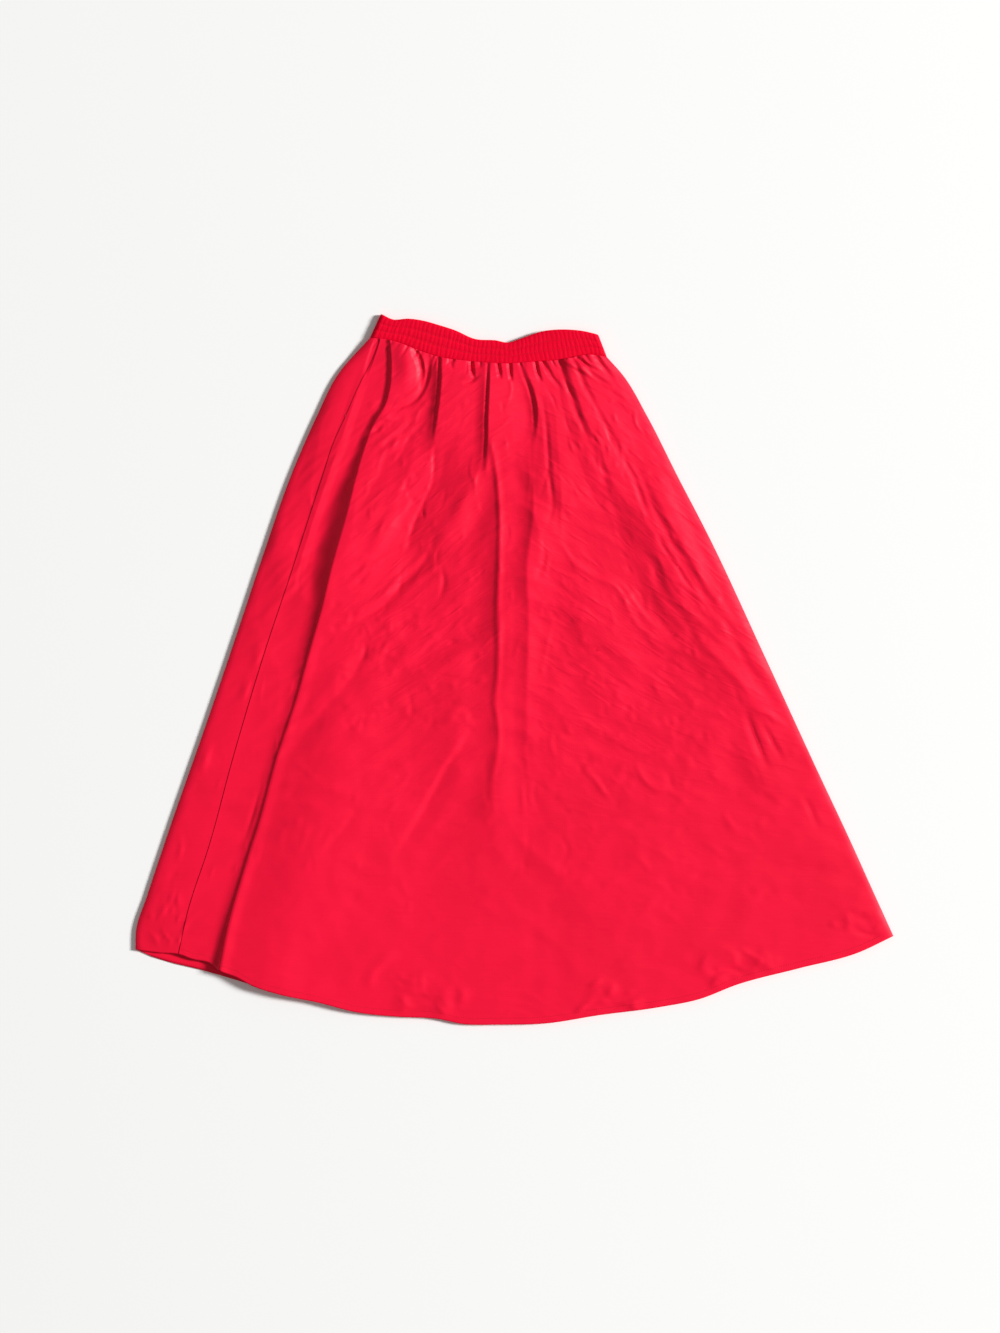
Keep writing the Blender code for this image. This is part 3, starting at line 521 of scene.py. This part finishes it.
def lattice_noise(x, y, seed):
    """Smooth noise from -1 to 1 with one bump per unit, the same for the same seed."""
    rng = np.random.default_rng(seed)
    angle = rng.uniform(0.0, 2.0 * np.pi, (NOISE_SIZE, NOISE_SIZE))
    ix, iy = np.floor(x).astype(int), np.floor(y).astype(int)
    fx, fy = x - ix, y - iy
    sx, sy = fade(fx, 0.0, 1.0), fade(fy, 0.0, 1.0)
    total = 0.0
    for dx, wx in ((0, 1.0 - sx), (1, sx)):
        for dy, wy in ((0, 1.0 - sy), (1, sy)):
            a = angle[(ix + dx) % NOISE_SIZE, (iy + dy) % NOISE_SIZE]
            total = total + wx * wy * (np.cos(a) * (fx - dx) + np.sin(a) * (fy - dy))
    return 1.5 * total


def crease_course(xy):
    """Coordinates along and across the small creases, which fall away to both sides of the middle."""
    from_middle = xy[..., 0] - CRUMPLE_MIDDLE
    fall = CRUMPLE_FALL * fade(xy[..., 1], *CRUMPLE_FALLS)
    across = xy[..., 1] + fall * (np.hypot(from_middle, CRUMPLE_BEND) - CRUMPLE_BEND)
    return xy[..., 0], across


def crumple(xy, v):
    """The cloth's own crumple: soft facets that meet in thin creases, in patches."""
    along, across = crease_course(xy)
    drift = xy / CRUMPLE_DRIFT
    total = np.zeros(xy.shape[:-1])
    for layer in CRUMPLES:
        bend = lattice_noise(drift[..., 0], drift[..., 1], 40 + layer.seed)
        a = along / layer.length + 0.5 * bend
        b = across / layer.spacing + 0.9 * bend
        crease = 1.0 - 2.0 * np.abs(lattice_noise(a, b, layer.seed))
        cross = lattice_noise(1.7 * a + 9.3, 0.55 * b - 4.1, 20 + layer.seed)
        patch = 0.35 + 0.65 * fade(lattice_noise(a * 0.6, b * 0.3, 60 + layer.seed), -0.4, 0.5)
        total += layer.height * patch * (0.6 * crease + 0.5 * cross)
    return total * np.interp(v, *CRUMPLE_REACH)


def tiny_gathers():
    """Short pleats all along the waist seam, uneven in place, depth and length."""
    rng = np.random.default_rng(GATHER_SEED)
    found = []
    for index in range(GATHER_COUNT):
        u = (index + 0.5 + rng.uniform(-GATHER_SHIFT, GATHER_SHIFT)) / GATHER_COUNT
        length = rng.uniform(*GATHER_LENGTH)
        depth = rng.uniform(*GATHER_DEPTH)
        spread = rng.uniform(*GATHER_SPREAD)
        steps = np.array([0.0, 0.5, 1.0]) * length / SKIRT_LENGTH
        line = [tuple(FRONT.at(u + GATHER_LEAN * (u - 0.5) * k, v)) for k, v in enumerate(steps)]
        line[0] = (line[0][0], line[0][1] + GATHER_START)
        heights = (-depth, -0.7 * depth, 0.0)
        found.append(Fold("gather", line, heights, spread, spread, 0))
    return found


def short_creases():
    """The groups of short creases: slightly bowed, steep on one side and gentle on the other."""
    rng = np.random.default_rng(STROKE_SEED)
    found = []
    for group in STROKES:
        for _ in range(group.count):
            middle = np.array((rng.uniform(group.left, group.right), rng.uniform(group.low, group.high)))
            angle = np.radians(group.angle + group.spread * rng.normal())
            along = np.array((np.cos(angle), np.sin(angle)))
            length = group.lengths[0] + (group.lengths[1] - group.lengths[0]) * rng.random() ** 2
            bow = STROKE_BOW * length * rng.normal() * np.array((-along[1], along[0]))
            line = (middle - 0.5 * length * along, middle + bow, middle + 0.5 * length * along)
            height = rng.uniform(*group.heights) * rng.choice((-1.0, 1.0, 1.0))
            steep, gentle = rng.uniform(*STROKE_STEEP), rng.uniform(*STROKE_GENTLE)
            sides = (steep, gentle, 1, 2) if rng.random() < STEEP_LEFT_SHARE else (gentle, steep, 2, 1)
            found.append(Fold(group.name, line, height, *sides))
    return found


GATHERS = tiny_gathers()
SHORT_CREASES = short_creases()


def laid_thickness(v):
    """Thickness of the laid tube where no fold lifts it."""
    return BAND_THICKNESS + (SKIRT_THICKNESS - BAND_THICKNESS) * fade(v, 0.0, BAND_RUNOUT)


def top_height(u, v, crest):
    """Outer height of the top layer above the surface that the skirt lies on; crest is the deep fold's u."""
    xy = FRONT.at(u, v)
    width = FRONT.width(v)
    from_edge = np.minimum(u, 1.0 - u) * width
    calm = fade(from_edge, 0.0, np.interp(v, (0.0, 0.5), FOLDS_DIE_OUT))
    puff = WAIST_PUFF * fade(v, 0.0, PUFF_RISE_END) * (1.0 - fade(v, *PUFF_FALL))
    puff = puff * fade((u - crest) * width, *PUFF_GROWS) * fade((1.0 - u) * width, 0.0, PUFF_ENDS) + HEM_PUFF
    relief = puff + fold_height(xy, MAIN_FOLDS)
    relief = 0.5 * (relief + np.hypot(relief, FLOOR_SOFTNESS))
    fine = fold_height(xy, CREASES + SHORT_CREASES + HEM_PUCKERS) + crumple(xy, v)
    fine = fine * fade(from_edge, 0.0, CREASES_DIE_OUT)
    return laid_thickness(v) + relief * calm + fine + fold_height(xy, GATHERS)


def top_points(u, v, row, seam_lift):
    """Points of the top; next to the side seam they are lifted a little, or sunk."""
    from_seam = np.abs(u - row.seam) * FRONT.width(v)
    z = top_height(u, v, row.crest) + seam_lift * np.exp(-from_seam / SEAM_SPREAD)
    return np.concatenate((FRONT.at(u, v), z[..., None]), axis=-1)


def bottom_points(u, v):
    xy = BACK.at(u, v)
    return np.concatenate((xy, np.zeros(xy.shape[:-1] + (1,))), axis=-1)


def round_edge(tip, near, thickness, angles, inward=0.0):
    """Points round a folded edge of a laid tube, as far inward from its outer face as is given."""
    to_middle = (near - tip) / np.linalg.norm(near - tip, axis=-1, keepdims=True)
    half = 0.5 * thickness[..., None]
    xy = tip[..., None, :] + to_middle[..., None, :] * (half - (half - inward) * np.cos(angles))[..., None]
    return np.concatenate((xy, (half + (half - inward) * np.sin(angles))[..., None]), axis=-1)


def edge_arc(side, v, turn):
    """Points round the skirt's folded edge in every row, from above to below for turn 1."""
    angles = turn * np.linspace(EDGE_TURN, -EDGE_TURN, EDGE_STEPS - 1)
    return round_edge(FRONT.at(side, v), FRONT.at(abs(side - NEAR_EDGE), v), laid_thickness(v), angles)


def row_places():
    """Rows from waist to hem: close under the gathers and at the hem."""
    fine = np.linspace(0.0, 1.0, ROW_SAMPLES)
    density = 1.0 / np.interp(fine, *ROW_SPACING)
    reach = np.concatenate(([0.0], np.cumsum(0.5 * (density[1:] + density[:-1]))))
    return np.interp(np.linspace(0.0, 1.0, ROW_STEPS + 1), reach / reach[-1], fine)


Row = namedtuple("Row", "v seam crest foot left right tuck_end")


def laid_row(v):
    """Where the lines that the columns follow cross the row at v."""
    width = FRONT.width(v)
    seam = FRONT.u_of_line(SIDE_SEAM, v)
    crest = max(FRONT.u_of_line(DEEP_FOLD, v), seam + 0.6 * FOLD_WALL / width)
    foot = max(crest - FOLD_WALL / width, seam + LEAST_STRIP / width)
    right = 1.0 - EDGE_INSET / width
    left = min(EDGE_INSET / width, 0.5 * seam)
    tuck_end = 1.0 - min(TUCK / width, MOST_TUCK_SHARE)
    return Row(v, seam, crest, foot, left, right, tuck_end)


def all_rows():
    """The lines of every row, each as a column of numbers."""
    rows = [laid_row(v) for v in row_places()]
    return Row(*(np.array(values)[:, None] for values in zip(*rows)))


ROWS = all_rows()


def between(start, end, places):
    """The places from 0 to 1 laid out from start to end."""
    return start + (end - start) * places


# Places of the columns between two lines, close together at a seam
EVEN_WALL = np.linspace(0.0, 1.0, WALL_STEPS, endpoint=False)
EVEN_MAIN = np.linspace(0.0, 1.0, MAIN_STEPS)
FROM_SEAM = np.linspace(0.0, 1.0, STRIP_STEPS, endpoint=False)
FROM_SEAM = 0.35 * FROM_SEAM + 0.65 * FROM_SEAM**2
TO_SEAM = np.append(FROM_SEAM, 1.0)[::-1]
ROUND_EDGE = np.linspace(0.0, 1.0, EDGE_STEPS + 1)[1:-1]


def front_grid():
    """The front: from the side seam over the top, round the right fold and a little way under."""
    row = ROWS
    over = np.hstack((between(row.seam, row.foot, FROM_SEAM), between(row.foot, row.crest, EVEN_WALL),
                      between(row.crest, row.right, EVEN_MAIN)))
    under = between(row.right, row.tuck_end, np.linspace(0.0, 1.0, TUCK_STEPS))
    points = (top_points(over, row.v, row, SEAM_PROUD), edge_arc(1.0, row.v[:, 0], 1.0),
              bottom_points(under, row.v))
    around = between(row.right, 2.0 - row.right, ROUND_EDGE)
    return np.hstack(points), cut_place(np.hstack((over, around, 2.0 - under)), row.v)


def back_grid():
    """The back: flat underneath, round the left fold and over the top to the side seam."""
    row = ROWS
    under = between(row.tuck_end, row.left, np.linspace(0.0, 1.0, BACK_UNDER_STEPS))
    over = between(row.seam, row.left, TO_SEAM)
    points = (bottom_points(under, row.v), edge_arc(0.0, row.v[:, 0], -1.0),
              top_points(over, row.v, row, -SEAM_SUNK))
    around = between(row.left, -row.left, ROUND_EDGE)
    return np.hstack(points), cut_place(np.hstack((under, around, -over)), row.v)


def cut_place(around, v):
    """Places on the flat cut, in metres, from the share of the way round and down the tube."""
    width = np.interp(v, (0.0, 1.0), CUT_WIDTHS)
    x = (around - 0.5) * width
    y = np.broadcast_to(v * CUT_LENGTH, around.shape)
    return np.stack((x, y), axis=-1)


def grid_normals(grid):
    """Outward normals of a grid of points."""
    normal = np.cross(np.gradient(grid, axis=0), np.gradient(grid, axis=1))
    return normal / np.maximum(np.linalg.norm(normal, axis=-1, keepdims=True), 1e-9)


def add_object(name, data):
    """A new object in the scene."""
    made = bpy.data.objects.new(name, data)
    bpy.context.scene.collection.objects.link(made)
    return made


def mesh_object(name, points, faces, material, maps=None):
    """A mesh object from points in millimetres, with UV maps from the places given for its points."""
    mesh = bpy.data.meshes.new(name)
    mesh.from_pydata((points * MM).tolist(), [], faces)
    mesh.materials.append(material)
    loops = np.empty(len(mesh.loops), int)
    mesh.loops.foreach_get("vertex_index", loops)
    for map_name, places in (maps or {}).items():
        layer = mesh.uv_layers.new(name=map_name)
        layer.data.foreach_set("uv", places[loops].astype(np.float32).ravel())
    mesh.shade_smooth()
    mesh.update()
    return add_object(name, mesh)


def rim(fine, coarse):
    """Faces between an edge of the outer face and the inner one, which has every second point."""
    return [(fine[2 * i], coarse[i], coarse[i + 1], fine[2 * i + 2], fine[2 * i + 1])
            for i in range(len(coarse) - 1)]


def shell(name, grid, cut, thickness, material):
    """A closed thin shell: the outer face from the grid, a plainer inner face, and a rim all round."""
    rows, columns = grid.shape[:2]
    normal = grid_normals(grid)
    inner_points = (grid - normal * thickness[:, None, None])[::2, ::2]
    outer = np.arange(rows * columns).reshape(rows, columns)
    inner = np.arange(inner_points.shape[0] * inner_points.shape[1]).reshape(inner_points.shape[:2])
    inner = inner + rows * columns

    def quads(index):
        corners = (index[:-1, :-1], index[1:, :-1], index[1:, 1:], index[:-1, 1:])
        return np.stack(corners, axis=-1).reshape(-1, 4)

    faces = quads(outer).tolist() + quads(inner)[:, ::-1].tolist()
    faces += rim(outer[0, ::-1], inner[0, ::-1]) + rim(outer[-1], inner[-1])
    faces += rim(outer[:, 0], inner[:, 0]) + rim(outer[::-1, -1], inner[::-1, -1])
    points = np.concatenate((grid.reshape(-1, 3), inner_points.reshape(-1, 3)))
    flat = np.concatenate((cut.reshape(-1, 2), cut[::2, ::2].reshape(-1, 2)))
    course = np.stack(crease_course(points[:, :2]), axis=-1) * MM
    return mesh_object(name, points, faces, material, {"cloth": flat, "course": course})


def wall_of_rows():
    """Thickness of the shown cloth in each row: one layer, and more over the turned hem."""
    from_hem = (1.0 - ROWS.v[:, 0]) * SKIRT_LENGTH
    return SHOWN_CLOTH + HEM_EXTRA * (1.0 - fade(from_hem, HEM_TURN, HEM_TURN + HEM_STEP))


def set_inputs(node, values):
    """Give a node's inputs their values: numbers, or the outputs of other nodes."""
    for name, value in values.items():
        if isinstance(value, bpy.types.NodeSocket):
            node.id_data.links.new(value, node.inputs[name])
        else:
            node.inputs[name].default_value = value


def add_node(tree, kind, out, inputs, **settings):
    """A new node with its inputs and settings; what it gives is its output of the name out."""
    made = tree.nodes.new("ShaderNode" + kind)
    made.location = (200.0 * len(tree.nodes), 0.0)
    for key, value in settings.items():
        setattr(made, key, value)
    set_inputs(made, inputs)
    return made.outputs[out]


def cloth_colour(tree, cloud, slub, light, dark):
    """A colour between the dark and the light tone, cloudy and slubbed."""
    both = add_node(tree, "Math", "Value", {0: slub, 1: SLUB_SHARE, 2: cloud}, operation="MULTIPLY_ADD")
    colour = add_node(tree, "ValToRGB", "Color", {"Fac": both})
    for step, position, tone in zip(colour.node.color_ramp.elements, TONE_RANGE, (dark, light)):
        step.position = position
        step.color = (*tone, 1.0)
    return colour


def weave_normal(tree, place, slub, pitch):
    """The bumps of the crossing threads, with the slubs on them."""
    threads = []
    for direction, apart in (("X", pitch), ("Y", pitch * WEFT_TO_WARP)):
        look = {"Vector": place, "Scale": 1.0 / (apart * 20.0), "Distortion": 0.6, "Detail": 1.0}
        threads.append(add_node(tree, "TexWave", "Fac", look, wave_type="BANDS", bands_direction=direction))
    crossing = add_node(tree, "Math", "Value", dict(enumerate(threads)), operation="MULTIPLY")
    weave = add_node(tree, "Bump", "Normal", {"Height": crossing, **WEAVE_BUMP})
    return add_node(tree, "Bump", "Normal", {"Height": slub, "Normal": weave, **SLUB_BUMP})


def crinkle_strength(tree):
    """1 where the crinkles are full, less towards the hem and the left edge."""
    cut = add_node(tree, "UVMap", "UV", {}, uv_map="cloth")
    parts = []
    for axis, faintest, full, left in CRINKLES_FADE:
        place = add_node(tree, "SeparateXYZ", axis, {"Vector": cut})
        limits = {"From Min": faintest, "From Max": full, "To Min": left, "To Max": 1.0}
        parts.append(add_node(tree, "MapRange", "Result", {"Value": place, **limits}))
    return add_node(tree, "Math", "Value", dict(enumerate(parts)), operation="MULTIPLY")


def crinkled_normal(tree, normal):
    """The finest crinkles, layer upon layer, along the course of the creases."""
    course = add_node(tree, "UVMap", "UV", {}, uv_map="course")
    strength = crinkle_strength(tree)
    for length, spacing, height in CRINKLES:
        scale = (1.0 / length, 1.0 / spacing, 1.0)
        stretched = add_node(tree, "Mapping", "Vector", {"Vector": course, "Scale": scale})
        ridges = add_node(tree, "TexNoise", "Fac",
                          {"Vector": stretched, "Scale": 1.0, "Detail": 1.0, "Distortion": 0.4},
                          noise_type="RIDGED_MULTIFRACTAL", noise_dimensions="2D")
        normal = add_node(tree, "Bump", "Normal",
                          {"Strength": strength, "Distance": height, "Height": ridges, "Normal": normal})
    return normal


def cloth_material(name, light, dark, roughness, gloss, pitch, crinkled=False):
    """Taffeta: fine ribbed weave, slubs across, slight unevenness of colour and gloss."""
    made = bpy.data.materials.new(name)
    made.use_nodes = True
    tree = made.node_tree
    place = add_node(tree, "TexCoord", "Object", {})
    cloud = add_node(tree, "TexNoise", "Fac", {"Vector": place, **CLOUDS})
    long_way = add_node(tree, "Mapping", "Vector", {"Vector": place, "Scale": SLUB_SCALE})
    slub = add_node(tree, "TexNoise", "Fac", {"Vector": long_way, "Scale": 1.0, "Detail": 3.0})
    limits = {"To Min": roughness + ROUGHNESS_RANGE[0], "To Max": roughness + ROUGHNESS_RANGE[1]}
    dull = add_node(tree, "MapRange", "Result", {"Value": slub, **limits})
    normal = weave_normal(tree, place, slub, pitch)
    if crinkled:
        normal = crinkled_normal(tree, normal)
    colour = cloth_colour(tree, cloud, slub, light, dark)
    set_inputs(tree.nodes["Principled BSDF"], {"Base Color": colour, "Roughness": dull, "Normal": normal,
                                               "Specular IOR Level": gloss, **SHEEN})
    return made


def spaced_along(points, pitch):
    """Places every pitch along a line of points, with their directions."""
    steps = np.linalg.norm(np.diff(points, axis=0), axis=1)
    reach = np.concatenate(([0.0], np.cumsum(steps)))
    wanted = np.arange(0.5 * pitch, reach[-1], pitch)

    def at(reached):
        return np.column_stack([np.interp(reached, reach, points[:, k]) for k in range(3)])

    run = at(wanted + 0.5) - at(wanted - 0.5)
    return at(wanted), run / np.linalg.norm(run, axis=1, keepdims=True)


def stitch_row(name, line, lift, material):
    """Small raised stitches along a line, each a bar with pointed ends."""
    centres, directions = spaced_along(line, STITCH_PITCH)
    up = np.array((0.0, 0.0, 1.0))
    centres = centres + lift * up
    side = np.cross(up, directions)
    side /= np.linalg.norm(side, axis=-1, keepdims=True)
    half, wide, high = 0.5 * STITCH_LENGTH, 0.5 * STITCH_WIDTH, STITCH_HEIGHT
    neck, sunk = 0.6 * half, -0.25 * high
    shape = [(-half, 0, sunk), (-neck, wide, 0), (-neck, 0, high), (-neck, -wide, 0),
             (neck, wide, 0), (neck, 0, high), (neck, -wide, 0), (half, 0, sunk)]
    faces = [(0, 2, 1), (0, 3, 2), (0, 1, 3), (1, 2, 5, 4), (2, 3, 6, 5), (3, 1, 4, 6),
             (7, 4, 5), (7, 5, 6), (7, 6, 4)]
    points = np.stack([centres + a * directions + b * side + c * up for a, b, c in shape], axis=1)
    starts = range(0, len(centres) * len(shape), len(shape))
    every = [[start + corner for corner in face] for face in faces for start in starts]
    return mesh_object(name, points.reshape(-1, 3), every, material)


def add_hem_stitches(material):
    """The line of stitches that holds the turned hem, on the front, 8 mm above its edge."""
    row = laid_row(1.0 - HEM_STITCH_INSET / SKIRT_LENGTH)
    u = np.linspace(row.seam + HEM_STITCH_ENDS[0], HEM_STITCH_ENDS[1], HEM_STITCH_SAMPLES)
    line = top_points(u, row.v, row, SEAM_PROUD)
    return stitch_row("hem_stitches", line, HEM_STITCH_LIFT, material)


def band_place(u, w):
    """Place of the band's face: u from left to right, w from its top edge to the waist seam."""
    a = np.asarray(w, float)[..., None]
    return (1.0 - a) * smooth_curve(BAND_TOP)(u) + a * smooth_curve(WAIST_SEAM)(u)


def rib_relief(u, w, seed):
    """Ribs of cloth gathered by the elastic: rounded, uneven, pinched at the stitch rows."""
    waver = lattice_noise(u * 26.0, w * 2.5, seed)
    count = BAND_RIBS * u + RIB_WAVER * waver
    rib = np.abs(np.cos(np.pi * count)) ** 0.8
    size = RIB_SIZE[0] + RIB_SIZE[1] * lattice_noise(u * 60.0, w * 1.7, seed + 1)
    pinch = np.zeros_like(w)
    for row in BAND_STITCH_ROWS:
        pinch = np.maximum(pinch, np.exp(-(((w - row) / BAND_STITCH_WIDTH) ** 2)))
    ends = fade(w, -0.02, 0.1) * (1.0 - 0.8 * fade(w, 0.9, 1.0))
    channel = CHANNEL_HEIGHT * (1.0 - pinch) * fade(w, 0.0, 0.12) * (1.0 - fade(w, 0.88, 1.0))
    return RIB_HEIGHT * rib * size * (1.0 - 0.55 * pinch) * (0.35 + 0.65 * ends) + channel


def band_wave(u, w):
    """The band's slow rise and fall along its length."""
    return BAND_WAVE * (1.0 + np.sin(2.0 * np.pi * BAND_WAVES * u + 2.0 * w))


def band_face(u, w):
    """Height of the band's top face."""
    return BAND_THICKNESS + band_wave(u, w) + rib_relief(u, w, RIB_SEED) - RIBS_SETTLE


def band_end(side, turn, w, inward):
    """Points round one end of the band, from above to below for turn 1."""
    angles = turn * np.linspace(BAND_END_TURN, -BAND_END_TURN, BAND_END_STEPS)
    near = band_place(abs(side - NEAR_EDGE), w)
    return round_edge(band_place(side, w), near, np.array(BAND_THICKNESS), angles, inward)


def band_ring(w, inward, ribs):
    """One closed ring of the band, inward from its outer face, with ribs from 0 to 1."""
    inset = 0.5 * BAND_THICKNESS / BAND_WIDTH
    over = np.linspace(inset, 1.0 - inset, BAND_TOP_STEPS)
    w_over = np.full(len(over), w)
    calm = fade(np.minimum(over, 1.0 - over), 0.0, BAND_CALM_END)
    height = BAND_THICKNESS + (band_face(over, w_over) - BAND_THICKNESS) * calm * ribs
    height = height + band_wave(over, w) * calm * (1.0 - ribs)
    top = np.column_stack((band_place(over, w_over), height - inward))
    beneath = np.linspace(1.0 - inset, inset, BAND_UNDER_STEPS)
    w_under = np.full(len(beneath), w)
    hollow = 0.5 * (1.3 - rib_relief(beneath, w_under, RIB_SEED + 3) / (RIB_HEIGHT + CHANNEL_HEIGHT))
    hollow = np.clip(hollow, 0.0, 0.6) * ribs
    under = np.column_stack((band_place(beneath, w_under), np.full(len(beneath), inward) + hollow))
    return np.vstack((top, band_end(1.0, 1.0, w, inward), under, band_end(0.0, -1.0, w, inward)))


def add_waistband(material):
    """The gathered elastic band: up the inside, over the rounded top edge and down the ribbed face."""
    inside = [(w, BAND_WALL, 0.0) for w in np.linspace(1.0, BAND_EDGE, BAND_INNER_STEPS)]
    edge = [(BAND_EDGE * (1.0 - np.sin(a)), 0.5 * BAND_WALL * (1.0 + np.cos(a)), 0.5 * (1.0 - np.cos(a)))
            for a in np.linspace(0.0, np.pi, BAND_EDGE_STEPS + 2)[1:-1]]
    face = [(w, 0.0, 1.0) for w in np.linspace(BAND_EDGE, 1.0, BAND_OUTER_STEPS)]
    grid = np.array([band_ring(*ring) for ring in inside + edge + face])
    rows, columns = grid.shape[:2]
    index = np.arange(rows * columns).reshape(rows, columns)
    after = np.roll(index, -1, axis=1)
    quads = np.stack((index[:-1], index[1:], after[1:], after[:-1]), axis=-1).reshape(-1, 4).tolist()
    last = np.stack((index[-1], index[0], after[0], after[-1]), axis=-1).tolist()
    return mesh_object("gathered_band", grid.reshape(-1, 3), quads + last, material)


def add_band_stitches(material):
    """Two rows of stitches through the band, in the channels between its ribs."""
    made = []
    for number, w in enumerate(BAND_STITCH_ROWS, 1):
        u = np.linspace(*BAND_STITCH_ENDS, BAND_STITCH_SAMPLES)
        row = np.full(len(u), w)
        line = np.column_stack((band_place(u, row), band_face(u, row)))
        made.append(stitch_row(f"band_stitches_{number}", line, BAND_STITCH_LIFT, material))
    return made


def add_floor():
    mesh = bpy.data.meshes.new("floor")
    turns = ((-1, -1), (1, -1), (1, 1), (-1, 1))
    corners = [(x * FLOOR_SIZE, y * FLOOR_SIZE, -FLOOR_DROP) for x, y in turns]
    mesh.from_pydata(corners, [], [(0, 1, 2, 3)])
    made = bpy.data.materials.new("floor")
    made.use_nodes = True
    set_inputs(made.node_tree.nodes["Principled BSDF"], FLOOR_LOOK)
    mesh.materials.append(made)
    floor = add_object("floor", mesh)


def add_studio():
    """Soft low light from the right and an even white fill."""
    light = bpy.data.lights.new("key", "AREA")
    light.shape = "SQUARE"
    light.size = KEY_SIZE
    light.energy = KEY_POWER
    lamp = add_object("key", light)
    lamp.location = KEY_PLACE
    lamp.rotation_euler = (-Vector(KEY_PLACE)).to_track_quat("-Z", "Y").to_euler()
    world = bpy.data.worlds.new("studio")
    bpy.context.scene.world = world
    world.use_nodes = True
    set_inputs(world.node_tree.nodes["Background"], FILL)
    world.cycles_visibility.glossy = False
    bpy.context.scene.view_settings.view_transform = "Standard"
    bpy.context.scene.view_settings.look = "None"


def add_camera():
    """Straight down, far enough away that the picture is nearly without perspective."""
    camera = bpy.data.cameras.new("camera")
    camera.lens = LENS
    camera.sensor_width = SENSOR
    camera.sensor_fit = "VERTICAL"
    camera.sensor_height = SENSOR
    seen = PICTURE_SIZE[1] * MM_PER_PX * MM
    made = add_object("camera", camera)
    made.location = (PICTURE_CENTRE[0] * MM, PICTURE_CENTRE[1] * MM, seen * LENS / SENSOR)
    bpy.context.scene.camera = made


def main():
    skirt_cloth = cloth_material("skirt_taffeta", *SKIRT_CLOTH, crinkled=True)
    # The band's darker tones include painted shade between its gathered ribs
    band_cloth_and_rib_shade = cloth_material("band_taffeta", *BAND_CLOTH_AND_RIB_SHADE)
    thread = cloth_material("thread", *THREAD)

    front = shell("skirt_front", *front_grid(), wall_of_rows(), skirt_cloth)
    back = shell("skirt_back", *back_grid(), wall_of_rows(), skirt_cloth)
    band = add_waistband(band_cloth_and_rib_shade)
    hem_stitches = add_hem_stitches(thread)
    band_stitches = add_band_stitches(thread)

    for piece in (front, back, band, hem_stitches, *band_stitches):
        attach(piece, "root")
    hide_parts("front_panel")
    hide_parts("back_panel")
    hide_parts("waistband")

    add_floor()
    add_studio()
    add_camera()


main()
